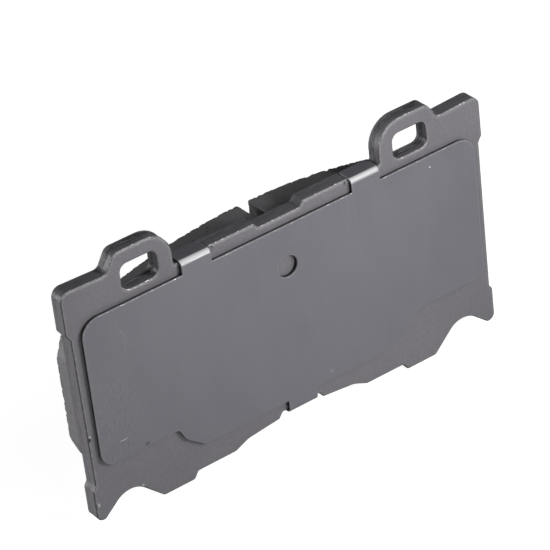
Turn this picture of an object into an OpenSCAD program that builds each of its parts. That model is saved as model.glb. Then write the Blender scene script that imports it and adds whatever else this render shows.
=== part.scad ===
// Front disc brake pad for a fixed caliper. It stands on the two crests of its plate's
// lower edge. X runs along the pad, +Y points at the disc, +Z points up to the two ears.
// The origin is the middle of the bounding box, on the ground. All sizes are millimetres.

/* [Backing plate] */
// Width over the shoulders
plate_w = 148; // [146:0.5:152]
// Thickness of the steel
plate_t = 5; // [4:0.25:7]
// Height of the ears above the crests
ear_top = 85.5; // [84.5:0.5:88]
// Height of the raised parts of the top edge
top_z = 73.8; // [73.4:0.1:74.6]
// Distance of each ear slot from the middle
ear_slot_x = 47.9; // [47:0.1:48.8]
// Height of the ear slots' centres
ear_slot_z = 76.4; // [75.6:0.1:77]
// Width of each ear slot
ear_slot_w = 12.2; // [9:0.1:13]
// Height of each ear slot
ear_slot_h = 8.6; // [7:0.1:9.4]
// Corner radius of the ear slots
ear_slot_r = 2.5; // [1:0.1:3.2]
// Diameter of the moulding holes that lock the lining to the plate
lock_hole_d = 9; // [6:0.5:12]

/* [Lining] */
// Thickness of the glue film on the plate
bond_t = 0.15; // [0.1:0.05:0.3]
// Thickness of the underlayer, without its plugs
underlayer_t = 1.85; // [1:0.05:3]
// Thickness of the friction material
friction_t = 10; // [2:0.5:14]
// Height of the crown of the lining's outer arc
crown_z = 70; // [69:0.25:71]
// Radius of the outer arc
outer_r = 192; // [170:1:230]
// Radius of the inner arc
inner_r = 185; // [175:1:240]
// Half the length of the lining
lining_half = 69; // [67.5:0.25:70]
// Width of the cooling slot
slot_w = 3.6; // [2:0.1:5]
// Offset of the cooling slot from the middle
slot_x = -0.9; // [-2:0.1:2]

/* [Shim stack] */
// Thickness of the adhesive against the plate
adhesive_t = 0.15; // [0.1:0.05:0.3]
// Thickness of each rubber layer
rubber_t = 0.2; // [0.1:0.05:0.3]
// Thickness of the steel core
core_t = 0.35; // [0.2:0.05:0.5]
// Thickness of the cover sheet
sheet_t = 0.6; // [0.4:0.05:0.7]
// Half the width of the cover
cover_half = 69.65; // [68:0.05:71]
// Height of the cover's top edge
cover_top = 69.6; // [68:0.1:70.2]
// Diameter of the sight hole through the shim stack
sight_hole_d = 7; // [4:0.5:10]
// Inner edge of each top tab, from the middle
tab_near = 25; // [22:0.5:26]
// Outer edge of each top tab, from the middle
tab_far = 35.1; // [32:0.1:35.6]
// Half the width of the bottom tab
low_tab_half = 5.1; // [3:0.1:6]
// Outside bend radius of the tabs
bend_r = 1.9; // [1.2:0.1:2.2]

/* [Hidden] */

$fn = 48;
eps = 0.5;
arc_step = 7.5;
half_w = plate_w / 2;

// Thickness direction, from the piston side (-Y) to the disc side (+Y)
laminate_t = adhesive_t + 2 * rubber_t + core_t;
total_t = sheet_t + laminate_t + plate_t + bond_t + underlayer_t + friction_t;
cover_y = -total_t / 2;
laminate_y = cover_y + sheet_t;
plate_back_y = laminate_y + laminate_t;
plate_front_y = plate_back_y + plate_t;
underlayer_y = plate_front_y + bond_t;
friction_y = underlayer_y + underlayer_t;
disc_face_y = total_t / 2;

// Heights of the plate's outline
tab_gap = 0.1;
tab_seat_z = top_z - sheet_t - tab_gap;
notch_z = top_z - 1.75;
shoulder_z = 80;
side_z = 66.8;
leg_z = 14.5;
leg_foot_z = 2.2;
arch_z = 10.3;
low_step_z = 2.3;
low_mid_z = 4.4;
low_notch_z = 7.5;
low_notch_half = 6.7;

// Heights of the shim's lower outline, and of the lining's ends
cover_side_z = 20.3;
cover_low_z = 11.4;
laminate_inset = 0.3;
lining_mid_z = 9.5;
lining_end_x = lining_half - 4.8;
lining_foot_x = 51;
film_inset = 0.6;
sight_hole_z = 56.1;

// Moulding holes of one half, [x, z]
lock_holes = [[15, 50], [35, 37], [15, 24], [56, 46], [56, 27]];
plug_setback = 0.3;

steel = [0.55, 0.55, 0.56];
coating = [0.45, 0.45, 0.48];
rubber_black = [0.08, 0.08, 0.08];
lining_grey = [0.3, 0.3, 0.3];
layer_brown = [0.36, 0.31, 0.27];
glue_amber = [0.5, 0.33, 0.16];

function unit(v) = v / norm(v);
function turned(v, a) = [v.x * cos(a) - v.y * sin(a), v.x * sin(a) + v.y * cos(a)];
function mirrored(pts) = [for (i = [len(pts) - 1:-1:0]) [-pts[i].x, pts[i].y, pts[i].z]];

// The points that round corner b, a point with its radius, between its neighbours a and c
function corner(a, b, c) =
    let (
        p = [b.x, b.y],
        u = unit([a.x, a.y] - p),
        v = unit([c.x, c.y] - p),
        half = acos(u * v) / 2,
        start = u * b.z / tan(half),
        centre = unit(u + v) * b.z / sin(half),
        sweep = (180 - 2 * half) * sign(cross(v, u)),
        steps = ceil(abs(sweep) / arc_step)
    )
    [for (i = [0:steps]) p + centre + turned(start - centre, sweep * i / steps)];

// An outline of corners [x, z, radius]; a radius of 0 leaves the corner sharp
function rounded(c) =
    let (n = len(c))
    [for (i = [0:n - 1]) each c[i].z == 0
        ? [[c[i].x, c[i].y]]
        : corner(c[(i + n - 1) % n], c[i], c[(i + 1) % n])];

// Sharp points of an arc over the middle, from x0 to x1, whose top is at crown
function arc(x0, x1, r, crown) =
    let (steps = 24)
    [for (i = [0:steps]) let (x = x0 + (x1 - x0) * i / steps) [x, crown - r + sqrt(r * r - x * x), 0]];

// Right half of the plate, clockwise from the notch in the top edge to the one below
plate_right = [
    [7.3, notch_z, 0.5],
    [8.8, top_z, 0.6],
    [tab_near - 0.15, top_z, 0.3],
    [tab_near - 0.15, tab_seat_z, 0.25],
    [36.5, tab_seat_z, 0.9],
    [36.5, ear_top, 8.6],
    [55.2, ear_top, 3],
    [58.5, shoulder_z, 2],
    [half_w, shoulder_z + 0.6, 3],
    [half_w, side_z, 1],
    [half_w - 1.3, side_z - 2, 1],
    [half_w - 1.7, leg_z, 1],
    [half_w - 0.7, leg_z - 1.4, 1],
    [half_w - 0.7, leg_foot_z, 2.2],
    [half_w - 3.5, leg_foot_z, 1.2],
    [61.05, arch_z, 7],
    [50.2, 0, 1.5],
    [39.4, 0, 0.9],
    [37.9, low_step_z, 0.9],
    [24.3, low_step_z, 3],
    [19.5, low_mid_z, 6],
    [8.1, low_mid_z + 1.2, 0.6],
    [low_notch_half, low_notch_z, 0.5],
];

// Right half of the shim, its edge moved in by d
function shim_right(d) = [
    [cover_half - d, cover_top - d, 5.8],
    [cover_half - d, cover_side_z + d, 4.2],
    [43.4 - d, cover_side_z + d, 1.4],
    [41.2 - d, cover_side_z - 4.3 + d, 4],
    [35.2 - d, cover_low_z + d, 2.5],
];

// Right half of the lining, its edge moved in by d
function lining_right(d) = concat(
    [for (p = arc(0, lining_end_x - d, outer_r, crown_z - d)) if (p.x > 0) p],
    [
        [lining_half - 2.4 - d, 56, 3],
        [lining_half - d, 49.8, 4],
        [lining_half - d, 21.4 + d, 6],
        [lining_half - 2.8 - d, 14.2 + d, 5],
    ],
    [for (p = arc(lining_foot_x - d, 0, inner_r, lining_mid_z + d)) if (p.x > 0) p]
);

module outline(right) {
    polygon(rounded(concat(right, mirrored(right))));
}

// A flat piece between two depths, from its outline in X and Z
module slab(y0, y1) {
    translate([0, y1, 0])
        rotate([90, 0, 0])
            linear_extrude(y1 - y0)
                children();
}

// A round hole or plug along Y
module round_bar(x, z, d, y0, y1) {
    translate([x, y0, z])
        rotate([-90, 0, 0])
            cylinder(d = d, h = y1 - y0);
}

module lock_bars(d, y0, y1) {
    for (side = [-1, 1], p = lock_holes)
        round_bar(side * p.x, p.y, d, y0, y1);
}

module ear_slot_outline() {
    square([ear_slot_w, ear_slot_h - 2 * ear_slot_r], center = true);
    square([ear_slot_w - 2 * ear_slot_r, ear_slot_h], center = true);
    for (sx = [-1, 1], sz = [-1, 1])
        translate([sx * (ear_slot_w / 2 - ear_slot_r), sz * (ear_slot_h / 2 - ear_slot_r)])
            circle(r = ear_slot_r);
}

module backing_plate() {
    color(steel)
        difference() {
            slab(plate_back_y, plate_front_y)
                difference() {
                    outline(plate_right);
                    for (side = [-1, 1])
                        translate([side * ear_slot_x, ear_slot_z])
                            ear_slot_outline();
                }
            lock_bars(lock_hole_d, plate_back_y - eps, plate_front_y + eps);
        }
}

module bond_film() {
    color(glue_amber)
        difference() {
            slab(plate_front_y, underlayer_y)
                outline(lining_right(film_inset));
            lock_bars(lock_hole_d, plate_front_y - eps, underlayer_y + eps);
        }
}

module underlayer() {
    color(layer_brown)
        union() {
            slab(underlayer_y, friction_y)
                outline(lining_right(0));
            lock_bars(lock_hole_d, plate_back_y + plug_setback, underlayer_y + underlayer_t / 2);
        }
}

// One half of the friction material, from the slot's wall outwards
module friction_block(side) {
    color(lining_grey)
        slab(friction_y, disc_face_y)
            intersection() {
                outline(lining_right(0));
                translate([side > 0 ? slot_x + slot_w / 2 : -plate_w, -plate_w])
                    square([side > 0 ? plate_w : plate_w + slot_x - slot_w / 2, 2 * plate_w]);
            }
}

module friction_block_left() {
    friction_block(-1);
}

module friction_block_right() {
    friction_block(1);
}

// A flat layer of the shim from depth y0, t thick, with the sight hole through it
module shim_layer(y0, t, inset) {
    difference() {
        slab(y0, y0 + t)
            outline(shim_right(inset));
        round_bar(0, sight_hole_z, sight_hole_d, y0 - eps, y0 + t + eps);
    }
}

module outer_rubber_layer() {
    color(rubber_black)
        shim_layer(laminate_y, rubber_t, laminate_inset);
}

module shim_core() {
    color(steel)
        shim_layer(laminate_y + rubber_t, core_t, laminate_inset);
}

module inner_rubber_layer() {
    color(rubber_black)
        shim_layer(laminate_y + rubber_t + core_t, rubber_t, laminate_inset);
}

module shim_adhesive() {
    color(glue_amber)
        shim_layer(plate_back_y - adhesive_t, adhesive_t, laminate_inset);
}

// A tab that leaves the sheet upwards and bends over the plate's edge, between two X;
// root is where it leaves the sheet, and top is the height of its outer surface
module bent_tab(x0, x1, root, top) {
    bend_y = cover_y + bend_r;
    bend_z = top - bend_r;
    translate([x0, 0, 0])
        rotate([90, 0, 90])
            linear_extrude(x1 - x0) {
                translate([cover_y, root])
                    square([sheet_t, bend_z - root]);
                intersection() {
                    difference() {
                        translate([bend_y, bend_z])
                            circle(r = bend_r);
                        translate([bend_y, bend_z])
                            circle(r = bend_r - sheet_t);
                    }
                    translate([cover_y, bend_z])
                        square([bend_r, bend_r]);
                }
                translate([bend_y, top - sheet_t])
                    square([plate_front_y - bend_y, sheet_t]);
            }
}

module cover_shim() {
    color(coating)
        union() {
            shim_layer(cover_y, sheet_t, 0);
            for (side = [0, 1])
                mirror([side, 0, 0])
                    bent_tab(tab_near, tab_far, cover_top - eps, top_z);
            mirror([0, 0, 1])
                bent_tab(-low_tab_half, low_tab_half, -cover_low_z - eps, tab_gap + sheet_t - low_notch_z);
        }
}

backing_plate();
bond_film();
underlayer();
friction_block_left();
friction_block_right();
shim_adhesive();
inner_rubber_layer();
shim_core();
outer_rubber_layer();
cover_shim();
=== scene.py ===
"""A disc brake pad for a fixed caliper, standing on the two crests of its plate.

Its CAD model is the fixed frame. Here the plate, the cover sheet, the lining and its underlayer get
their finished shapes, with rolled and ground edges, folded tabs and a crumbly rim, and every piece
gets its finish. X runs along the pad, +Y points at the disc and +Z up to the ears.
"""

import math

import bmesh
import bpy
from mathutils import Matrix, Vector, kdtree, noise


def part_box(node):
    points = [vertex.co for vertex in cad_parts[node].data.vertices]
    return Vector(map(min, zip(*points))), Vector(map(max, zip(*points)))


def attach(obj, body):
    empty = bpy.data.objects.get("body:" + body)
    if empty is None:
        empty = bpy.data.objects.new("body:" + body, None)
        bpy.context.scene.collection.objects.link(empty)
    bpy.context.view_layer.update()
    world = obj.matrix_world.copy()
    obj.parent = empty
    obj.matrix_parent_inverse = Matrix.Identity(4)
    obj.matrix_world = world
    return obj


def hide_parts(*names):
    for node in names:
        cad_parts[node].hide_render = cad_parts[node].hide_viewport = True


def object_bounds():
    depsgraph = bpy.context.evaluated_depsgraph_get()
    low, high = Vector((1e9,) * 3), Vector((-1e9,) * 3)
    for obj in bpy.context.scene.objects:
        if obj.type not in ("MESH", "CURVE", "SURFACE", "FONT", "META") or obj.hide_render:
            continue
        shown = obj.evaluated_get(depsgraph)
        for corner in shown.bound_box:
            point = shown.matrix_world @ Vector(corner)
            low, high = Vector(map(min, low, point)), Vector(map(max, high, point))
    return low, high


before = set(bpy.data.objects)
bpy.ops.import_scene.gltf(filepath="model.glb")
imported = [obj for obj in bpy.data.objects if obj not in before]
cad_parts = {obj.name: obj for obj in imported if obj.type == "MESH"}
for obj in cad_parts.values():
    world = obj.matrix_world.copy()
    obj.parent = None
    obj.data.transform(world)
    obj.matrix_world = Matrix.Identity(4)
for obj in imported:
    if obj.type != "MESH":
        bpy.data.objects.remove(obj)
cad_low, cad_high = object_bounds()

MM = 0.001


# ---------------------------------------------------------------- sizes, from the frame

plate_low, plate_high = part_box("backing_plate")
cover_low, cover_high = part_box("cover_shim")
rubber_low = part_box("outer_rubber_layer")[0]
block_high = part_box("friction_block_left")[1]

half_width = plate_high.x / MM
ear_top = plate_high.z / MM
tab_top = cover_high.z / MM
cover_half = cover_high.x / MM
sheet = rubber_low.y - cover_low.y

# Heights and distances along the outlines, in millimetres
SHOULDER_Z = 80.0
SIDE_Z = 66.8
LEG_Z = 14.5
FOOT_Z = 2.2
ARCH_Z = 10.3
TAB_NEAR = 25.0
TAB_FAR = 35.1
TAB_SEAT_Z = tab_top - sheet / MM - 0.1
LOW_TAB_HALF = 5.1
LOW_NOTCH_Z = 7.5
COVER_TOP = 69.6
COVER_SIDE_Z = 20.3
COVER_LOW_Z = 11.4
SIGHT_HOLE_Z = 56.1
SIGHT_HOLE_R = 3.5
EAR_SLOT = (47.9, 76.4, 12.2, 8.6, 2.5)
LOCK_HOLES = ((15, 50), (35, 37), (15, 24), (56, 46), (56, 27))
LOCK_HOLE_R = 4.5
BEND_R = 1.9

# How finely the shapes are drawn, in millimetres but for the angle, and the grain of the lining in metres
RUN_STEP = 0.9
ARC_STEP = math.radians(6)
FLAT_RING = 0.25
BEND_CUTS = 12
GRAIN = 0.45 * MM

# How far the press drew the plate's front face down towards its edge, along the face and into it, and
# the radius of the corner that is left, in millimetres
ROLL_WIDTH = 1.05
HOLE_ROLL_WIDTH = 0.6
ROLL_DEPTH = 0.20
CORNER_R = 0.20
# The corner rounds: the plate's rim on the disc side, and the cover's outer and inner edge
RIM_R = 0.18
COVER_R = 0.16
BURR_R = 0.06
# How deep the press cut the plate's edge before the steel tore, how wavy that line is and how long its
# waves are, in metres
TEAR_DEPTH = 2.1 * MM
TEAR_WAVE = 0.7 * MM
TEAR_RUN = 6 * MM
# How far from the lining's rim it has crumbled, and how far the paint is chipped, in millimetres
CRUMBLED = 0.8
CHIPPED = 1.3

# Right half of the plate as corners (x, z, radius), clockwise from the notch in its top edge
PLATE_RIGHT = (
    (7.3, tab_top - 1.75, 0.5),
    (8.8, tab_top, 0.6),
    (TAB_NEAR - 0.15, tab_top, 0.3),
    (TAB_NEAR - 0.15, TAB_SEAT_Z, 0.25),
    (36.5, TAB_SEAT_Z, 0.9),
    (36.5, ear_top, 8.6),
    (55.2, ear_top, 3),
    (58.5, SHOULDER_Z, 2),
    (half_width, SHOULDER_Z + 0.6, 3),
    (half_width, SIDE_Z, 1),
    (half_width - 1.3, SIDE_Z - 2, 1),
    (half_width - 1.7, LEG_Z, 1),
    (half_width - 0.7, LEG_Z - 1.4, 1),
    (half_width - 0.7, FOOT_Z, 2.2),
    (half_width - 3.5, FOOT_Z, 1.2),
    (61.05, ARCH_Z, 7),
    (50.2, 0, 1.5),
    (39.4, 0, 0.9),
    (37.9, 2.3, 0.9),
    (24.3, 2.3, 3),
    (19.5, 4.4, 6),
    (8.1, 5.6, 0.6),
    (6.7, LOW_NOTCH_Z, 0.5),
)


# ---------------------------------------------------------------- outlines

def mirrored(corners):
    return [(-x, z, r) for x, z, r in reversed(corners)]


def ear_slot_corners(side):
    x, z, w, h, r = EAR_SLOT
    signs = ((-1, 1), (1, 1), (1, -1), (-1, -1))
    return [(side * x + sx * w / 2, z + sz * h / 2, r) for sx, sz in signs]


def rounded_corner(before, here, after, radius, inset):
    """Points that round one corner of a clockwise outline whose edges are moved in by inset."""
    along = (here - before).normalized()
    onward = (after - here).normalized()
    turn = along.angle_signed(onward)
    # on a clockwise outline the inside is on the right
    right_a = Vector((along.y, -along.x))
    right_b = Vector((onward.y, -onward.x))
    middle = (right_a + right_b).normalized()
    corner = here + middle * inset / max(middle.dot(right_a), 0.2)
    # a positive turn goes to the right, which makes a corner that stands out
    side = 1 if turn > 0 else -1
    radius = max(radius - inset * side, 0.02)
    start = corner - along * radius * math.tan(abs(turn) / 2)
    centre = start + right_a * radius * side
    steps = max(2, round(abs(turn) / ARC_STEP))
    return [centre + (start - centre) @ Matrix.Rotation(turn * k / steps, 2) for k in range(steps + 1)]


def ring(corners, inset=0.0):
    """Points (x, z) in metres of an outline of clockwise corners (x, z, radius) in millimetres."""
    count = len(corners)
    points = [Vector(c[:2]) for c in corners]
    arcs = [rounded_corner(points[i - 1], points[i], points[(i + 1) % count], corners[i][2], inset)
            for i in range(count)]
    made = []
    for i in range(count):
        made += arcs[i]
        start = arcs[i][-1]
        end = arcs[(i + 1) % count][0]
        parts = max(1, round((points[(i + 1) % count] - points[i]).length / RUN_STEP))
        made += [start.lerp(end, k / parts) for k in range(1, parts)]
    return [p * MM for p in made]


def circle(x, z, radius, steps=48):
    turns = [2 * math.pi * k / steps for k in range(steps)]
    return [Vector((x + radius * math.cos(t), z + radius * math.sin(t))) * MM for t in turns]


# ---------------------------------------------------------------- working by hand

def deselect():
    for obj in bpy.context.selected_objects:
        obj.select_set(False)


def pick(obj, *others):
    """Selects obj, and others with it, and makes obj the active one."""
    deselect()
    for one in (obj, *others):
        one.select_set(True)
    bpy.context.view_layer.objects.active = obj


def edit(obj):
    pick(obj)
    bpy.ops.object.mode_set(mode="EDIT")


def done():
    bpy.ops.object.mode_set(mode="OBJECT")


def modifier(obj, kind, **settings):
    """Adds a modifier, sets it and applies it."""
    pick(obj)
    added = obj.modifiers.new(kind.lower(), kind)
    for name, value in settings.items():
        setattr(added, name, value)
    bpy.ops.object.modifier_apply(modifier=added.name)


def join(obj, *others):
    pick(obj, *others)
    bpy.ops.object.join()
    return obj


def wall(name, rings):
    """An open wall through rings of points, drawn as a circle and extruded from one ring to the next."""
    bpy.ops.mesh.primitive_circle_add(vertices=len(rings[0]), radius=1)
    obj = bpy.context.object
    obj.name = name
    for vertex, place in zip(obj.data.vertices, rings[0]):
        vertex.co = place
    for last, following in zip(rings, rings[1:]):
        edit(obj)
        bpy.ops.mesh.select_mode(type="EDGE")
        if following is rings[1]:
            bpy.ops.mesh.select_all(action="SELECT")
        bpy.ops.mesh.extrude_edges_move()
        done()
        target = {tuple(round(c, 8) for c in place): there for place, there in zip(last, following)}
        for vertex in obj.data.vertices:
            if vertex.select:
                vertex.co = target[tuple(round(c, 8) for c in vertex.co)]
    return obj


def layered(outline, profile):
    """Rings of one outline in X and Z, through a profile of (y, inset in millimetres)."""
    return [[Vector((p.x, y, p.y)) for p in outline(inset)] for y, inset in profile]


def cap(obj, y):
    """Closes the open rings at depth y with one face that leaves the holes open."""
    edit(obj)
    bpy.ops.mesh.select_mode(type="EDGE")
    bpy.ops.mesh.select_all(action="DESELECT")
    bpy.ops.mesh.select_non_manifold(extend=False, use_wire=False, use_multi_face=False,
                                     use_non_contiguous=False, use_verts=False)
    done()
    for edge in obj.data.edges:
        here = all(abs(obj.data.vertices[v].co.y - y) < 1e-7 for v in edge.vertices)
        edge.select = edge.select and here
    bpy.ops.object.mode_set(mode="EDIT")
    bpy.ops.mesh.fill(use_beauty=True)
    done()


def face_out(obj):
    edit(obj)
    bpy.ops.mesh.select_all(action="SELECT")
    bpy.ops.mesh.remove_doubles(threshold=1e-7)
    bpy.ops.mesh.normals_make_consistent(inside=False)
    done()


def smooth(obj, degrees=35):
    """Smooth shading that leaves flat faces flat."""
    pick(obj)
    bpy.ops.object.shade_smooth_by_angle(angle=math.radians(degrees))
    modifier(obj, "WEIGHTED_NORMAL", keep_sharp=True, weight=100)


def mark(obj, name, value):
    """Stores a number on each vertex, which the finish reads."""
    layer = obj.data.attributes.new(name, "FLOAT", "POINT")
    for vertex, entry in zip(obj.data.vertices, layer.data):
        entry.value = value(vertex)


def mark_edges(obj, full=math.radians(16)):
    """Marks each vertex with how sharply the surface bends outwards there, from 0 to 1 at full."""
    shape = bmesh.new()
    shape.from_mesh(obj.data)
    bends = [max((e.calc_face_angle_signed(0) for e in v.link_edges), default=0) for v in shape.verts]
    shape.free()
    mark(obj, "edge", lambda vertex: clamp(bends[vertex.index] / full - 0.4))


def clamp(value):
    return min(max(value, 0.0), 1.0)


def weigh(obj, name, weight):
    """A vertex group with a weight for each vertex."""
    group = obj.vertex_groups.new(name=name)
    for vertex in obj.data.vertices:
        group.add([vertex.index], clamp(weight(vertex)), "REPLACE")


def wear_down(obj, name, kind, size, depth, group="", low=0.0, high=1.0):
    """Lowers the surface by up to depth, where a pattern of that size lies between low and high."""
    pattern = bpy.data.textures.new(name, kind)
    pattern.noise_scale = size
    pattern.use_color_ramp = True
    ramp = pattern.color_ramp
    ramp.elements[0].position = low
    ramp.elements[0].color = (0, 0, 0, 1)
    ramp.elements[1].position = high
    ramp.elements[1].color = (1, 1, 1, 1)
    modifier(obj, "DISPLACE", texture=pattern, texture_coords="LOCAL", strength=depth, mid_level=1,
             vertex_group=group)


def quarter_round(y, radius, depth, inwards, steps=5):
    """A profile of (y, inset) round an edge, from a flat ring on the face down to the wall."""
    turns = [math.pi / 2 * k / steps for k in range(steps + 1)]
    curve = [(y + inwards * depth * MM * (1 - math.cos(t)), radius * (1 - math.sin(t))) for t in turns]
    return [(y, radius + FLAT_RING), *curve]


def rolled_edge(y, width):
    """A profile from the flat face over the shallow roll and the tight corner to the wall."""
    parts = [k / 6 for k in range(7)]
    shallow = [(y + ROLL_DEPTH * MM * t * t, CORNER_R + width * (1 - t)) for t in parts]
    corner = quarter_round(shallow[-1][0], CORNER_R, CORNER_R, 1, 4)[2:]
    return [(y, shallow[0][1] + FLAT_RING), *shallow, *corner]


def copy_of(node, name):
    """A merged copy of a CAD node's mesh, to be worked on."""
    obj = bpy.data.objects.new(name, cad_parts[node].data.copy())
    bpy.context.scene.collection.objects.link(obj)
    obj.data.materials.clear()
    edit(obj)
    bpy.ops.mesh.select_all(action="SELECT")
    bpy.ops.mesh.remove_doubles(threshold=1e-6)
    bpy.ops.mesh.normals_make_consistent(inside=False)
    done()
    return obj


def place(piece, node, slot, finish):
    """Gives a finished piece its finish, hides the CAD node it takes the place of and attaches it to the
    root body.
    """
    piece.data.materials.clear()
    piece.data.materials.append(finish)
    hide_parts(node)
    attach(piece, "root")


# ---------------------------------------------------------------- the plate

def make_plate():
    """The blanked steel plate: rolled edge on the piston side, torn band and rim on the disc side."""
    back, front = plate_low.y, plate_high.y
    roll = rolled_edge(back, ROLL_WIDTH)
    hole_roll = rolled_edge(back, HOLE_ROLL_WIDTH)
    rim = quarter_round(front, RIM_R, RIM_R, -1, 4)[::-1]
    rows = 10
    first, last = roll[-1][0], rim[0][0]
    middle = [(first + (last - first) * k / rows, 0) for k in range(1, rows)]
    profile = roll + middle + rim
    hole_profile = hole_roll + middle + rim
    corners = list(PLATE_RIGHT) + mirrored(PLATE_RIGHT)
    plate = wall("plate", layered(lambda d: ring(corners, d), profile))
    holes = []
    for side in (-1, 1):
        slot_corners = ear_slot_corners(side)
        holes.append(wall("slot", layered(lambda d: ring(slot_corners, -d), hole_profile)))
        for x, z in LOCK_HOLES:
            holes.append(wall("hole", layered(lambda d: circle(side * x, z, LOCK_HOLE_R + d), hole_profile)))
    join(plate, *holes)
    cap(plate, back)
    cap(plate, front)
    face_out(plate)

    def torn(vertex):
        """The band that tore in the press, below a wavy line: 0 above it and on the faces, 1 in it."""
        line = back + TEAR_DEPTH + TEAR_WAVE * noise.noise(vertex.co / TEAR_RUN)
        below = (vertex.co.y - line) / (0.3 * MM)
        above = (front - 0.5 * MM - vertex.co.y) / (0.3 * MM)
        # the press tears most round the ears and their slots
        beside = clamp(1 - abs(abs(vertex.co.x) - 47.5 * MM) / (12 * MM))
        ears = 0.15 + beside * clamp(vertex.co.z / MM - 69)
        return clamp(below) * clamp(above) * clamp(2 * ears)

    def brow(vertex):
        """The rolled band of the front face: 0 where it is flat, 1 at the corner and 0 on the walls."""
        return clamp((vertex.co.y - back) / (ROLL_DEPTH * MM)) * clamp(-4 * vertex.normal.y - 2)

    weigh(plate, "tear_zone", torn)
    wear_down(plate, "tear", "CLOUDS", 0.9 * MM, 0.22 * MM, "tear_zone", 0.35, 0.75)
    smooth(plate)
    mark(plate, "torn", torn)
    mark(plate, "brow", brow)
    mark_edges(plate)
    return plate


# ---------------------------------------------------------------- the cover sheet

def bent(co, bend_z, way):
    """Where a point of the flat sheet goes when its tab is bent over the plate, way being up or down."""
    run = (co.z - bend_z) * way
    if run <= 0:
        return co
    radius = BEND_R * MM
    angle = min(run / radius, math.pi / 2)
    straight = max(run - radius * math.pi / 2, 0)
    arm = radius - (co.y - cover_low.y)
    y = cover_low.y + radius - arm * math.cos(angle) + straight
    return Vector((co.x, y, bend_z + way * arm * math.sin(angle)))


def make_cover():
    """The coated sheet, cut flat and then bent: two tabs over the plate's top and one under it."""
    outside, inside = cover_low.y, cover_low.y + sheet
    curl = BEND_R * math.pi / 2
    reach = (plate_high.y - outside) / MM - BEND_R - 0.05
    top_bend = tab_top - BEND_R
    low_bend = cover_low.z / MM + BEND_R
    top_end = top_bend + curl + reach
    low_end = low_bend - curl - reach
    right = [
        (TAB_NEAR, COVER_TOP, 0.3),
        (TAB_NEAR, top_end, 0.8),
        (TAB_FAR, top_end, 0.8),
        (TAB_FAR, COVER_TOP, 0.3),
        (cover_half, COVER_TOP, 5.8),
        (cover_half, COVER_SIDE_Z, 4.2),
        (43.4, COVER_SIDE_Z, 1.4),
        (41.2, COVER_SIDE_Z - 4.3, 4),
        (35.2, COVER_LOW_Z, 2.5),
        (LOW_TAB_HALF, COVER_LOW_Z, 0.3),
        (LOW_TAB_HALF, low_end, 0.8),
    ]
    roll = quarter_round(outside, COVER_R, COVER_R, 1, 3)
    burr = quarter_round(inside, BURR_R, BURR_R, -1, 2)[::-1]
    profile = roll + burr
    cover = wall("cover", layered(lambda d: ring(right + mirrored(right), d), profile))
    hole = wall("hole", layered(lambda d: circle(0, SIGHT_HOLE_Z, SIGHT_HOLE_R + d, 64), profile))
    join(cover, hole)
    cap(cover, outside)
    cap(cover, inside)
    face_out(cover)
    cuts = [(top_bend + curl * k / BEND_CUTS) * MM for k in range(BEND_CUTS + 1)]
    cuts += [(low_bend - curl * k / BEND_CUTS) * MM for k in range(BEND_CUTS + 1)]
    edit(cover)
    for z in cuts:
        bpy.ops.mesh.select_all(action="SELECT")
        bpy.ops.mesh.bisect(plane_co=(0, 0, z), plane_no=(0, 0, 1))
    done()
    for vertex in cover.data.vertices:
        vertex.co = bent(bent(vertex.co, top_bend * MM, 1), low_bend * MM, -1)
    face_out(cover)
    smooth(cover)
    mark_edges(cover)

    def bend_highlight(vertex):
        """The outside of the upper bends, where a highlight is painted light into the coat's colour."""
        tilt = vertex.normal.z
        above = clamp((vertex.co.z - top_bend * MM) / (0.05 * MM))
        return above * clamp(2.2 * tilt - 0.6) * clamp(24 - 24.3 * tilt)

    mark(cover, "bend_highlight", bend_highlight)
    return cover


# ---------------------------------------------------------------- the lining

def near_rim(obj, side_test, reach):
    """A weight that is 1 on the rim that passes side_test and 0 at reach from it."""
    rim = [v.co for v in obj.data.vertices if side_test(v)]
    tree = kdtree.KDTree(len(rim))
    for i, co in enumerate(rim):
        tree.insert(co, i)
    tree.balance()
    return lambda vertex: clamp(1 - tree.find(vertex.co)[2] / reach)


def moulded(node, name):
    """A CAD node's shape in even grains, ready to be worn, with its sides weighted."""
    piece = copy_of(node, name)
    modifier(piece, "REMESH", mode="VOXEL", voxel_size=GRAIN, adaptivity=0)
    weigh(piece, "side_zone", lambda v: clamp(1 - 1.6 * abs(v.normal.y)))
    return piece


def make_block(node, name):
    """One block of friction mix: moulded sides, a ground face and a rim that has crumbled a little."""
    disc_y = block_high.y
    block = moulded(node, name)

    def on_rim(vertex):
        return vertex.co.y > disc_y - 0.4 * MM and abs(vertex.normal.y) < 0.9

    weigh(block, "rim_zone", near_rim(block, on_rim, CRUMBLED * MM))
    weigh(block, "face_zone", lambda v: clamp(3 * (v.normal.y - 0.6)))
    before = [v.co.copy() for v in block.data.vertices]
    wear_down(block, "crumbs", "CLOUDS", 0.9 * MM, 0.6 * MM, "rim_zone", 0.28, 0.46)
    chipped = [(v.co - old).length / (0.35 * MM) for v, old in zip(block.data.vertices, before)]
    wear_down(block, "skin", "CLOUDS", 1.2 * MM, 0.06 * MM, "side_zone", 0.3, 0.7)
    wear_down(block, "pores", "CLOUDS", 0.5 * MM, 0.22 * MM, "face_zone", 0.22, 0.36)
    smooth(block, 60)
    rim = near_rim(block, on_rim, CHIPPED * MM)
    mark(block, "chip", lambda v: clamp(0.6 * chipped[v.index] + 0.66 * rim(v)))
    mark(block, "ground", lambda v: clamp(2.2 * v.normal.y - 0.6))
    return block


def make_underlayer():
    """The moulded layer under the lining, with its slightly rough painted edge and its plugs."""
    layer = moulded("underlayer", "under_layer")
    wear_down(layer, "skin", "CLOUDS", 1.2 * MM, 0.08 * MM, "side_zone", 0.3, 0.7)
    smooth(layer, 60)
    mark(layer, "chip", lambda v: 0.0)
    mark(layer, "ground", lambda v: 0.0)
    return layer


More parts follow.
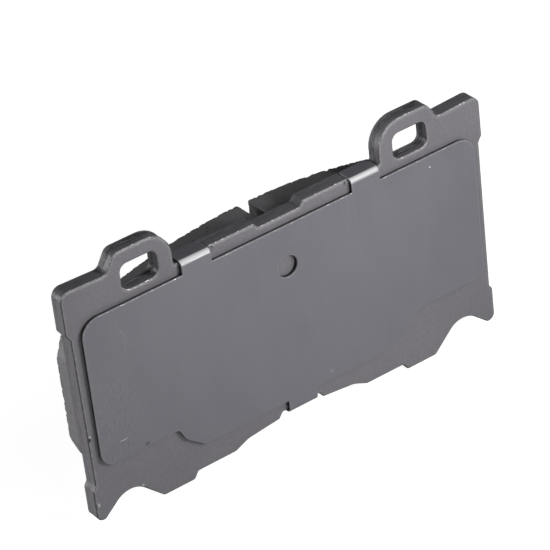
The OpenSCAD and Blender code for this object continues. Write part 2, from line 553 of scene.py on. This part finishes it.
# ---------------------------------------------------------------- finishes: the tools

def new_node(tree, kind, inputs=None, **settings):
    """Adds a node. Each input is a value, or a socket to link from."""
    made = tree.nodes.new(kind)
    for name, value in settings.items():
        setattr(made, name, value)
    for name, value in (inputs or {}).items():
        if isinstance(value, bpy.types.NodeSocket):
            tree.links.new(value, made.inputs[name])
        else:
            made.inputs[name].default_value = value
    return made


def sum_of(tree, operation, *values):
    return new_node(tree, "ShaderNodeMath", dict(enumerate(values)), operation=operation).outputs[0]


def spread(tree, value, low, high, to_low=0.0, to_high=1.0):
    """Maps low to high of a value softly onto to_low to to_high."""
    inputs = {"Value": value, "From Min": low, "From Max": high, "To Min": to_low, "To Max": to_high}
    return new_node(tree, "ShaderNodeMapRange", inputs, interpolation_type="SMOOTHSTEP").outputs[0]


def blend(tree, mask, under, over):
    """The colour over, laid on the colour under where mask is 1."""
    made = new_node(tree, "ShaderNodeMix", {0: mask}, data_type="RGBA")
    for index, colour in ((6, under), (7, over)):
        if isinstance(colour, bpy.types.NodeSocket):
            tree.links.new(colour, made.inputs[index])
        else:
            made.inputs[index].default_value = (*colour, 1)
    return made.outputs[2]


def cloud(tree, vector, scale, detail=2.0, roughness=0.5):
    inputs = {"Vector": vector, "Scale": scale, "Detail": detail, "Roughness": roughness}
    return new_node(tree, "ShaderNodeTexNoise", inputs).outputs[0]


def new_group(name, inputs, outputs):
    """An empty node group with named sockets, and its input and output nodes."""
    tree = bpy.data.node_groups.new(name, "ShaderNodeTree")
    for label in inputs:
        kind = "NodeSocketVector" if label in ("Vector", "Place", "Reach", "Normal") else "NodeSocketFloat"
        tree.interface.new_socket(name=label, in_out="INPUT", socket_type=kind)
    for label in outputs:
        tree.interface.new_socket(name=label, in_out="OUTPUT", socket_type="NodeSocketFloat")
    return tree, tree.nodes.new("NodeGroupInput").outputs, tree.nodes.new("NodeGroupOutput").inputs


def use(tree, group, **inputs):
    """Places a group in a finish and gives its outputs. Each input is given by its name."""
    return new_node(tree, "ShaderNodeGroup", inputs, node_tree=group).outputs


# ---------------------------------------------------------------- finishes: effects they share

def make_orange_peel():
    """The dimpled skin of sprayed and baked paint. Size is the width of a dimple."""
    tree, given, out = new_group("orange_peel", ["Vector", "Size"], ["Height"])
    scale = sum_of(tree, "DIVIDE", 1.0, given["Size"])
    broad = cloud(tree, given["Vector"], scale, 1.5)
    fine = cloud(tree, given["Vector"], sum_of(tree, "MULTIPLY", scale, 3.3), 2.0)
    height = sum_of(tree, "MULTIPLY_ADD", fine, 0.3, sum_of(tree, "MULTIPLY", broad, 0.7))
    tree.links.new(height, out["Height"])
    return tree


def make_cloudy_tone():
    """Soft patches between 0 and 1. Size is their width, and Contrast how hard they are."""
    tree, given, out = new_group("cloudy_tone", ["Vector", "Size", "Contrast"], ["Tone"])
    patches = cloud(tree, given["Vector"], sum_of(tree, "DIVIDE", 1.0, given["Size"]), 4.0, 0.55)
    half = sum_of(tree, "DIVIDE", 0.25, given["Contrast"])
    low = sum_of(tree, "SUBTRACT", 0.5, half)
    high = sum_of(tree, "ADD", 0.5, half)
    tree.links.new(spread(tree, patches, low, high), out["Tone"])
    return tree


def make_edge_rub():
    """Where an edge has been rubbed or nicked through. Amount 0 rubs none of it and 1 nearly all."""
    tree, given, out = new_group("edge_rub", ["Vector", "Edge", "Size", "Amount"], ["Mask"])
    nicks = cloud(tree, given["Vector"], sum_of(tree, "DIVIDE", 1.0, given["Size"]), 3.0, 0.6)
    worn = sum_of(tree, "MULTIPLY", nicks, given["Edge"])
    least = sum_of(tree, "MULTIPLY_ADD", given["Amount"], -0.5, 0.75)
    tree.links.new(spread(tree, worn, least, sum_of(tree, "ADD", least, 0.1)), out["Mask"])
    return tree


def make_specks():
    """Scattered grains. Share is the part of the cells, Size wide, that hold one, and Fill its width."""
    tree, given, out = new_group("specks", ["Vector", "Size", "Share", "Fill"], ["Mask", "Tone"])
    scale = sum_of(tree, "DIVIDE", 1.0, given["Size"])
    cells = new_node(tree, "ShaderNodeTexVoronoi", {"Vector": given["Vector"], "Scale": scale})
    parts = new_node(tree, "ShaderNodeSeparateColor", {0: cells.outputs["Color"]}).outputs
    picked = sum_of(tree, "LESS_THAN", parts[0], given["Share"])
    inner = sum_of(tree, "MULTIPLY", given["Fill"], 0.6)
    body = spread(tree, cells.outputs["Distance"], inner, given["Fill"], 1.0, 0.0)
    tree.links.new(sum_of(tree, "MULTIPLY", picked, body), out["Mask"])
    tree.links.new(parts[1], out["Tone"])
    return tree


def make_scores():
    """Hair lines that follow the long way of a stretched vector. Width is how wide they are."""
    tree, given, out = new_group("scores", ["Vector", "Width", "Share"], ["Mask"])
    waves = cloud(tree, given["Vector"], 1.0, 1.0)
    off = sum_of(tree, "ABSOLUTE", sum_of(tree, "SUBTRACT", waves, 0.5))
    line = spread(tree, off, 0.0, given["Width"], 1.0, 0.0)
    where = cloud(tree, given["Vector"], 0.23, 2.0)
    least = sum_of(tree, "SUBTRACT", 0.75, sum_of(tree, "MULTIPLY", given["Share"], 0.5))
    kept = spread(tree, where, least, sum_of(tree, "ADD", least, 0.08))
    tree.links.new(sum_of(tree, "MULTIPLY", line, kept), out["Mask"])
    return tree


def make_one_mark():
    """A single mark at Place, as far as Reach along each axis."""
    tree, given, out = new_group("one_mark", ["Vector", "Place", "Reach"], ["Mask"])
    kind = "ShaderNodeVectorMath"
    offset = new_node(tree, kind, {0: given["Vector"], 1: given["Place"]}, operation="SUBTRACT")
    scaled = new_node(tree, kind, {0: offset.outputs[0], 1: given["Reach"]}, operation="DIVIDE")
    away = new_node(tree, kind, {0: scaled.outputs[0]}, operation="LENGTH").outputs["Value"]
    tree.links.new(spread(tree, away, 0.5, 1.0, 1.0, 0.0), out["Mask"])
    return tree


def make_side_edge_shade():
    """Painted shade: darker on sharp corners that face sideways or down, but not on upper corners."""
    tree, given, out = new_group("side_edge_shade", ["Edge", "Normal"], ["Mask"])
    upward = new_node(tree, "ShaderNodeSeparateXYZ", {0: given["Normal"]}).outputs[2]
    sides = spread(tree, upward, 0.1, 0.4, 1.0, 0.0)
    tree.links.new(sum_of(tree, "MULTIPLY", sides, spread(tree, given["Edge"], 0.15, 0.5)), out["Mask"])
    return tree


def make_settled_dust():
    """Dust on what faces up, broken into patches as wide as Size."""
    tree, given, out = new_group("settled_dust", ["Vector", "Normal", "Size"], ["Mask"])
    upward = new_node(tree, "ShaderNodeSeparateXYZ", {0: given["Normal"]}).outputs[2]
    patches = cloud(tree, given["Vector"], sum_of(tree, "DIVIDE", 1.0, given["Size"]), 4.0, 0.65)
    facing = spread(tree, upward, 0.3, 0.95)
    tree.links.new(sum_of(tree, "MULTIPLY", facing, spread(tree, patches, 0.42, 0.72)), out["Mask"])
    return tree


orange_peel = make_orange_peel()
cloudy_tone = make_cloudy_tone()
edge_rub = make_edge_rub()
specks = make_specks()
scores = make_scores()
one_mark = make_one_mark()
side_edge_shade = make_side_edge_shade()
settled_dust = make_settled_dust()


# ---------------------------------------------------------------- finishes: colours, grains and marks

# Colours, in linear light
PLATE_DARK = (0.144, 0.138, 0.153)
PLATE_LIGHT = (0.170, 0.163, 0.180)
PLATE_MOTTLE = (0.106, 0.102, 0.110)
PLATE_GLINT = (0.32, 0.32, 0.33)
PLATE_BROW_HIGHLIGHT = (0.30, 0.295, 0.305)
PLATE_TORN_AND_DENT_SHADE = (0.04, 0.039, 0.04)
PLATE_EDGE_SHADE = (0.03, 0.029, 0.03)
COVER_DARK = (0.130, 0.127, 0.146)
COVER_LIGHT = (0.148, 0.145, 0.164)
COVER_SMEAR = (0.172, 0.169, 0.186)
COVER_SCRATCH_AND_HIGHLIGHT = (0.34, 0.34, 0.35)
COVER_FLECK = (0.112, 0.109, 0.125)
COVER_BEND_HIGHLIGHT = (0.64, 0.635, 0.65)
BARE_STEEL = (0.62, 0.61, 0.60)
DUST = (0.36, 0.34, 0.31)
LINING_PAINT_DARK = (0.160, 0.155, 0.163)
LINING_PAINT_LIGHT = (0.182, 0.176, 0.185)
MIX_DARK = (0.040, 0.039, 0.038)
PAINTED_CHIP_SHADE = (0.010, 0.010, 0.010)
MIX_LIGHT = (0.115, 0.111, 0.106)
UNDER_DARK = (0.05, 0.040, 0.032)
UNDER_LIGHT = (0.10, 0.082, 0.066)
GRINDING = (0.13, 0.125, 0.12)
BLACK = (0.005, 0.005, 0.006)
SOOT = (0.012, 0.012, 0.013)
SCUFFED_RUBBER = (0.02, 0.02, 0.02)
BRASS = (0.60, 0.42, 0.17)
FIBRE = (0.48, 0.47, 0.46)
METAL_GRAINS = (BRASS, FIBRE)

# Grains in the mix: cell size, share of the cells, width in a cell and colour
LINING_GRAINS = (
    (0.0016, 0.30, 0.50, (0.010, 0.010, 0.010)),
    (0.0009, 0.16, 0.42, (0.20, 0.19, 0.17)),
    (0.0011, 0.10, 0.40, BRASS),
    (0.0007, 0.10, 0.36, FIBRE),
)

# Marks on the cover: centre, reach along each axis, both in metres, and colour
face = cover_low.y
SCUFF_CENTRE = (-0.0640, face, 0.033)
SCUFF_REACH = (0.011, 0.01, 0.024)
COVER_MARKS = (
    ((0.0531, face, 0.0658), (0.00040, 0.001, 0.00034), (0.62, 0.62, 0.63)),
    ((-0.0543, face, 0.0214), (0.00100, 0.001, 0.00080), (0.075, 0.073, 0.08)),
    ((-0.0618, face, 0.0265), (0.0019, 0.001, 0.00020), (0.38, 0.38, 0.39)),
    ((0.0110, face, 0.0142), (0.0009, 0.001, 0.0007), (0.20, 0.198, 0.21)),
)

# Nicks in the plate's front edges, in the same way; the last is a painted glint at the apex of the arch
front = plate_low.y
PLATE_MARKS = (
    ((-0.0720, front, 0.0306), (0.0007, 0.0012, 0.0009), (0.03, 0.03, 0.03)),
    ((-0.0716, front, 0.0316), (0.0003, 0.0010, 0.0006), (0.45, 0.45, 0.46)),
    ((-0.0722, front, 0.0080), (0.0004, 0.0010, 0.0009), (0.40, 0.40, 0.41)),
    ((-0.0570, front, 0.0072), (0.0006, 0.0008, 0.0004), (0.45, 0.45, 0.46)),
)

# Layers that keep the frame's shape: node, finish, dark, light and worn colour, roughness, how metallic
# they are, and the depth of their bump in metres
LAYER_FINISHES = (
    ("outer_rubber_layer", "outer_rubber", BLACK, SOOT, SCUFFED_RUBBER, 0.75, 0.0, 0.00002),
    ("inner_rubber_layer", "inner_rubber", BLACK, SOOT, SCUFFED_RUBBER, 0.75, 0.0, 0.00002),
    ("shim_core", "core_steel", (0.03, 0.03, 0.032), (0.06, 0.06, 0.064), (0.3, 0.3, 0.3),
     0.45, 0.6, 0.00002),
    ("shim_adhesive", "shim_glue", (0.020, 0.014, 0.009), (0.05, 0.034, 0.020), (0.08, 0.06, 0.04),
     0.35, 0.0, 0.00003),
    ("bond_film", "bond_glue", (0.12, 0.116, 0.12), (0.16, 0.155, 0.16), (0.20, 0.19, 0.19),
     0.45, 0.0, 0.00003),
)


# ---------------------------------------------------------------- finishes: one for each material

def new_finish(name, **constants):
    """A material with its shader's own values set, and the object's coordinates to draw on."""
    finish = bpy.data.materials.new(name)
    finish.use_nodes = True
    tree = finish.node_tree
    shader = tree.nodes["Principled BSDF"]
    for label, value in constants.items():
        shader.inputs[label.replace("_", " ")].default_value = value
    where = new_node(tree, "ShaderNodeTexCoord").outputs["Object"]
    return finish, tree, shader.inputs, where


def attribute(tree, name):
    return new_node(tree, "ShaderNodeAttribute", attribute_name=name).outputs["Fac"]


def facing(tree):
    return new_node(tree, "ShaderNodeNewGeometry").outputs["Normal"]


def stretched(tree, where, scale, turn=(0, 0, 0)):
    """The object's coordinates turned, then scaled, so that a pattern lies longer one way."""
    inputs = {"Vector": where, "Scale": scale, "Rotation": turn}
    return new_node(tree, "ShaderNodeMapping", inputs, vector_type="POINT").outputs[0]


def relief(tree, into, height, depth):
    """Bump of that depth, in metres, from a height of 0 to 1."""
    bump = new_node(tree, "ShaderNodeBump", {"Height": height, "Distance": depth, "Strength": 1.0})
    tree.links.new(bump.outputs[0], into["Normal"])


def plate_paint():
    """Grey baked paint on blanked steel, streaky where the steel tore, nicked along the edges, with painted
    shade on its side and lower corners and a painted highlight on its rolled band.
    """
    finish, tree, into, where = new_finish("plate_paint", IOR=1.5)
    edge = attribute(tree, "edge")
    torn = attribute(tree, "torn")
    brow = attribute(tree, "brow")
    broad = use(tree, cloudy_tone, Vector=where, Size=0.030, Contrast=1.0)["Tone"]
    fine = use(tree, cloudy_tone, Vector=where, Size=0.0011, Contrast=0.8)["Tone"]
    grain = use(tree, specks, Vector=where, Size=0.0006, Share=0.3, Fill=0.45)
    paint = blend(tree, broad, PLATE_DARK, PLATE_LIGHT)
    paint = blend(tree, sum_of(tree, "MULTIPLY", fine, 0.45), paint, PLATE_MOTTLE)
    # painted highlight: the rolled band along the front face's edges is made lighter in colour
    paint = blend(tree, sum_of(tree, "MULTIPLY", brow, 0.8), paint, PLATE_BROW_HIGHLIGHT)
    paint = blend(tree, sum_of(tree, "MULTIPLY", grain["Mask"], 0.10), paint, PLATE_GLINT)
    layers = stretched(tree, where, (130, 1400, 130))
    streak = cloud(tree, layers, 1.0, 3.0, 0.6)
    rag = sum_of(tree, "MULTIPLY", torn, spread(tree, streak, 0.45, 0.58))
    paint = blend(tree, sum_of(tree, "MULTIPLY", rag, 0.9), paint, PLATE_TORN_AND_DENT_SHADE)
    rub = use(tree, edge_rub, Vector=where, Edge=edge, Size=0.0009, Amount=0.46)["Mask"]
    # small dents in the rolled band: real in the bump, painted shade in their darker colour; the same dark
    # colour also streaks the torn band
    dents = cloud(tree, stretched(tree, where, (1500, 500, 650)), 1.0, 2.0, 0.6)
    dents = sum_of(tree, "MULTIPLY", brow, spread(tree, dents, 0.42, 0.60))
    paint = blend(tree, sum_of(tree, "MULTIPLY", dents, 0.5), paint, PLATE_TORN_AND_DENT_SHADE)
    # painted shade: the side and lower corners and the outer rolled band are darkened, and the rubbed nicks
    # are mostly kept off them
    corner = sum_of(tree, "MAXIMUM", edge, spread(tree, brow, 0.55, 1.0, 0.0, 0.6))
    thin = use(tree, side_edge_shade, Edge=corner, Normal=facing(tree))["Mask"]
    rub = sum_of(tree, "MULTIPLY", rub, spread(tree, thin, 0.0, 1.0, 1.0, 0.15))
    paint = blend(tree, sum_of(tree, "MULTIPLY", thin, 0.9), paint, PLATE_EDGE_SHADE)
    dust = use(tree, settled_dust, Vector=where, Normal=facing(tree), Size=0.002)["Mask"]
    paint = blend(tree, sum_of(tree, "MULTIPLY", dust, 0.06), paint, DUST)
    for centre, reach, colour in PLATE_MARKS:
        spot = use(tree, one_mark, Vector=where, Place=centre, Reach=reach)["Mask"]
        paint = blend(tree, spot, paint, colour)
    tree.links.new(blend(tree, rub, paint, BARE_STEEL), into["Base Color"])
    tree.links.new(sum_of(tree, "MULTIPLY", rub, 0.8), into["Metallic"])
    sheen = spread(tree, fine, 0.0, 1.0, 0.36, 0.47)
    tree.links.new(sum_of(tree, "MULTIPLY_ADD", rag, 0.15, sheen), into["Roughness"])
    skin = use(tree, orange_peel, Vector=where, Size=0.0014)["Height"]
    height = sum_of(tree, "MULTIPLY_ADD", rag, 0.9, skin)
    height = sum_of(tree, "MULTIPLY_ADD", rub, -0.4, height)
    height = sum_of(tree, "MULTIPLY_ADD", dents, -0.7, height)
    relief(tree, into, height, depth=0.00013)
    return finish


def cover_coating():
    """Smooth satin coating on sheet steel, with faint smears, hair scratches and a few small marks, and
    painted highlights on its upper bends and its edges.
    """
    finish, tree, into, where = new_finish("cover_coating", IOR=1.5)
    edge = attribute(tree, "edge")
    broad = use(tree, cloudy_tone, Vector=where, Size=0.045, Contrast=0.8)["Tone"]
    smear = use(tree, cloudy_tone, Vector=stretched(tree, where, (1, 1, 0.35), (0, 0.35, 0)), Size=0.006,
                Contrast=1.2)["Tone"]
    coat = blend(tree, broad, COVER_DARK, COVER_LIGHT)
    coat = blend(tree, sum_of(tree, "MULTIPLY", smear, 0.22), coat, COVER_SMEAR)
    hair = use(tree, scores, Vector=stretched(tree, where, (420, 420, 24), (0, 0.5, 0)), Width=0.012,
               Share=0.30)["Mask"]
    coat = blend(tree, sum_of(tree, "MULTIPLY", hair, 0.16), coat, COVER_SCRATCH_AND_HIGHLIGHT)
    scuffed = use(tree, one_mark, Vector=where, Place=SCUFF_CENTRE, Reach=SCUFF_REACH)["Mask"]
    coat = blend(tree, sum_of(tree, "MULTIPLY", scuffed, 0.2), coat, COVER_SMEAR)
    flecks = cloud(tree, stretched(tree, where, (1200, 1200, 480), (0, 0.25, 0)), 1.0, 2.0, 0.6)
    for low, high, colour in ((0.52, 0.66, COVER_SMEAR), (0.48, 0.34, COVER_FLECK)):
        fleck = sum_of(tree, "MULTIPLY", scuffed, spread(tree, flecks, low, high))
        coat = blend(tree, sum_of(tree, "MULTIPLY", fleck, 0.5), coat, colour)
    for centre, reach, colour in COVER_MARKS:
        spot = use(tree, one_mark, Vector=where, Place=centre, Reach=reach)["Mask"]
        coat = blend(tree, spot, coat, colour)
    # painted highlight along the outside of the upper bends
    coat = blend(tree, sum_of(tree, "MULTIPLY", attribute(tree, "bend_highlight"), 1.0), coat, COVER_BEND_HIGHLIGHT)
    # painted highlight: a light line along the cover's edges, faded out where they face down; the same edge
    # mask then sets where the edges are rubbed bare
    upward = new_node(tree, "ShaderNodeSeparateXYZ", {0: facing(tree)}).outputs[2]
    edge = sum_of(tree, "MULTIPLY", edge, spread(tree, upward, -0.35, 0.1))
    coat = blend(tree, sum_of(tree, "MULTIPLY", edge, 0.35), coat, COVER_SCRATCH_AND_HIGHLIGHT)
    rub = use(tree, edge_rub, Vector=where, Edge=edge, Size=0.0007, Amount=0.42)["Mask"]
    tree.links.new(blend(tree, rub, coat, BARE_STEEL), into["Base Color"])
    tree.links.new(sum_of(tree, "MULTIPLY", rub, 0.7), into["Metallic"])
    tree.links.new(spread(tree, smear, 0.0, 1.0, 0.28, 0.34), into["Roughness"])
    skin = use(tree, orange_peel, Vector=where, Size=0.0007)["Height"]
    wave = use(tree, orange_peel, Vector=where, Size=0.009)["Height"]
    height = sum_of(tree, "MULTIPLY_ADD", wave, 5.0, skin)
    relief(tree, into, sum_of(tree, "MULTIPLY_ADD", hair, -0.4, height), depth=0.000012)
    return finish


def lining_mix(name, raw_dark, raw_light):
    """Pressed mix: painted on its sides, chipped bare at the rim with painted shade in the chips, and ground
    on its face.
    """
    finish, tree, into, where = new_finish(name, IOR=1.5)
    ground = attribute(tree, "ground")
    chip = attribute(tree, "chip")
    lumps = use(tree, cloudy_tone, Vector=where, Size=0.0016, Contrast=1.0)["Tone"]
    paint = blend(tree, lumps, LINING_PAINT_DARK, LINING_PAINT_LIGHT)
    pits = use(tree, specks, Vector=where, Size=0.0013, Share=0.12, Fill=0.4)["Mask"]
    paint = blend(tree, sum_of(tree, "MULTIPLY", pits, 0.5), paint, raw_dark)
    raw = blend(tree, lumps, raw_dark, raw_light)
    metal = None
    for size, share, fill, colour in LINING_GRAINS:
        grain = use(tree, specks, Vector=where, Size=size, Share=share, Fill=fill)
        shown = sum_of(tree, "MULTIPLY", grain["Mask"], spread(tree, grain["Tone"], 0.0, 1.0, 0.45, 1.0))
        raw = blend(tree, shown, raw, colour)
        if colour in METAL_GRAINS:
            metal = shown if metal is None else sum_of(tree, "MAXIMUM", metal, shown)
    lines = cloud(tree, stretched(tree, where, (90, 400, 5200), (0, 0.06, 0)), 1.0, 2.0)
    raw = blend(tree, spread(tree, lines, 0.45, 0.75, 0.0, 0.35), raw, GRINDING)
    # painted shade in the crumbled chips at the rim, kept off the ground face
    deep = sum_of(tree, "MULTIPLY", chip, spread(tree, ground, 0.0, 0.4, 0.9, 0.0))
    raw = blend(tree, deep, raw, PAINTED_CHIP_SHADE)
    ragged = spread(tree, cloud(tree, where, 1100.0, 2.0, 0.6), 0.3, 0.7, -0.4, 0.4)
    bare = sum_of(tree, "ADD", sum_of(tree, "MAXIMUM", ground, chip), ragged)
    bare = spread(tree, bare, 0.55, 0.72)
    dust = use(tree, settled_dust, Vector=where, Normal=facing(tree), Size=0.0015)["Mask"]
    paint = blend(tree, sum_of(tree, "MULTIPLY", dust, 0.08), paint, DUST)
    tree.links.new(blend(tree, bare, paint, raw), into["Base Color"])
    tree.links.new(sum_of(tree, "MULTIPLY", metal, bare), into["Metallic"])
    rough = spread(tree, bare, 0.0, 1.0, 0.5, 0.78)
    tree.links.new(sum_of(tree, "MULTIPLY_ADD", metal, -0.25, rough), into["Roughness"])
    skin = use(tree, orange_peel, Vector=where, Size=0.0006)["Height"]
    height = sum_of(tree, "MULTIPLY_ADD", pits, -0.6, skin)
    height = sum_of(tree, "MULTIPLY_ADD", sum_of(tree, "MULTIPLY", lines, bare), 0.8, height)
    relief(tree, into, height, depth=0.00004)
    return finish


def layer_edges(tree, where, node, width=0.00008):
    """1 along the two corners of a flat layer's cut edge, from its depth in the stack."""
    low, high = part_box(node)
    depth = new_node(tree, "ShaderNodeSeparateXYZ", {0: where}).outputs[1]
    middle = (low.y + high.y) / 2
    off = sum_of(tree, "ABSOLUTE", sum_of(tree, "SUBTRACT", depth, middle))
    half = (high.y - low.y) / 2
    return spread(tree, off, half - width, half)


def shim_layer_finish(name, node, dark, light, worn, roughness, metallic, depth):
    """The cut edge and the faces of a thin layer, with its two corners worn."""
    finish, tree, into, where = new_finish(name)
    tone = use(tree, cloudy_tone, Vector=where, Size=0.0012, Contrast=1.0)["Tone"]
    colour = blend(tree, tone, dark, light)
    corners = layer_edges(tree, where, node)
    rub = use(tree, edge_rub, Vector=where, Edge=corners, Size=0.0008, Amount=0.4)["Mask"]
    tree.links.new(blend(tree, rub, colour, worn), into["Base Color"])
    tree.links.new(spread(tree, rub, 0.0, 1.0, metallic, 0.2 + 0.6 * metallic), into["Metallic"])
    tree.links.new(spread(tree, tone, 0.0, 1.0, roughness, roughness + 0.12), into["Roughness"])
    skin = use(tree, orange_peel, Vector=where, Size=0.0005)["Height"]
    relief(tree, into, skin, depth)
    return finish


def finish_node(name, finish):
    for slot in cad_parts[name].material_slots:
        slot.material = finish


# ---------------------------------------------------------------- the pieces

plate = make_plate()
cover = make_cover()
left_block = make_block("friction_block_left", "left_block")
right_block = make_block("friction_block_right", "right_block")
under_layer = make_underlayer()

friction_mix = lining_mix("friction_mix", MIX_DARK, MIX_LIGHT)
place(plate, "backing_plate", "plate_paint", plate_paint())
place(cover, "cover_shim", "cover_coating", cover_coating())
place(left_block, "friction_block_left", "friction_mix", friction_mix)
place(right_block, "friction_block_right", "friction_mix", friction_mix)
place(under_layer, "underlayer", "underlayer_mix", lining_mix("underlayer_mix", UNDER_DARK, UNDER_LIGHT))

for node, name, dark, light, worn, roughness, metallic, depth in LAYER_FINISHES:
    finish_node(node, shim_layer_finish(name, node, dark, light, worn, roughness, metallic, depth))


# ---------------------------------------------------------------- camera, lights and floor

def aim(obj, place, target, roll=0.0):
    """Stands a camera or lamp at place, looking at target."""
    away = (place - target).normalized()
    turn = away.to_track_quat("Z", "Y") @ Matrix.Rotation(roll, 3, "Z").to_quaternion()
    obj.location = place
    obj.rotation_euler = turn.to_euler()


def from_angles(target, azimuth, elevation, distance):
    """The place seen from target at an azimuth, from behind the piston side towards -X, and an elevation."""
    a, e = math.radians(azimuth), math.radians(elevation)
    return target + distance * Vector((-math.sin(a) * math.cos(e), -math.cos(a) * math.cos(e), math.sin(e)))


# What the camera and the lamps look at, on the cover, and where the camera stands
target = Vector((-4.7 * MM, cover_low.y, 55.4 * MM))
CAMERA_AZIMUTH = 32.71
CAMERA_ELEVATION = 32.84
CAMERA_DISTANCE = 1.0069
CAMERA_ROLL = math.radians(-7.03)
CAMERA_LENS = 230.9

bpy.ops.object.camera_add()
camera = bpy.context.object
camera.data.sensor_width = 36
camera.data.lens = CAMERA_LENS
stand = from_angles(target, CAMERA_AZIMUTH, CAMERA_ELEVATION, CAMERA_DISTANCE)
aim(camera, stand, target, CAMERA_ROLL)
bpy.context.scene.camera = camera


def lamp(name, azimuth, elevation, distance, size, watts):
    """A round soft lamp. Angles are in degrees, distance and size in metres."""
    bpy.ops.object.light_add(type="AREA")
    light = bpy.context.object
    light.name = name
    light.data.shape = "DISK"
    light.data.size = size
    light.data.energy = watts
    aim(light, from_angles(target, azimuth, elevation, distance), target)
    return light


lamp("front", 5, 4, 0.85, 0.40, 1.95)
lamp("near", -16, 22, 0.205, 0.06, 0.25)
lamp("left", 94, 3, 0.90, 0.26, 4.6)
lamp("right", -97, 3, 0.90, 0.40, 1.8)
lamp("back", 140, 1, 0.90, 0.45, 2.6)
# a tall narrow lamp, whose reflection fills the bends of the upper tabs
STRIP_LENGTH = 0.42
STRIP_LEAN = math.radians(-21)
strip = lamp("strip", -35.6, 32.6, 0.46, 0.06, 0.90)
strip.data.shape = "RECTANGLE"
strip.data.size_y = STRIP_LENGTH
aim(strip, strip.location.copy(), target, STRIP_LEAN)

FLOOR_SIZE = 8
FLOOR_GAP = 0.0005
FLOOR_GLOW = 0.9
WORLD_GLOW = 0.02
bpy.ops.mesh.primitive_plane_add(size=FLOOR_SIZE, location=(0, 0, cad_low.z - FLOOR_GAP))
floor = bpy.context.object
white = bpy.data.materials.new("floor")
white.use_nodes = True
shader = white.node_tree.nodes["Principled BSDF"]
shader.inputs["Base Color"].default_value = (0.5, 0.5, 0.5, 1)
shader.inputs["Emission Color"].default_value = (1, 1, 1, 1)
# the floor is seen nearly white, but throws only what the lamps give it back onto the pad
seen = new_node(white.node_tree, "ShaderNodeLightPath").outputs["Is Camera Ray"]
glow = sum_of(white.node_tree, "MULTIPLY", seen, FLOOR_GLOW)
white.node_tree.links.new(glow, shader.inputs["Emission Strength"])
floor.data.materials.append(white)

world = bpy.data.worlds.new("world")
bpy.context.scene.world = world
world.use_nodes = True
world.node_tree.nodes["Background"].inputs["Color"].default_value = (1, 1, 1, 1)
world.node_tree.nodes["Background"].inputs["Strength"].default_value = WORLD_GLOW
bpy.context.scene.view_settings.view_transform = "Standard"
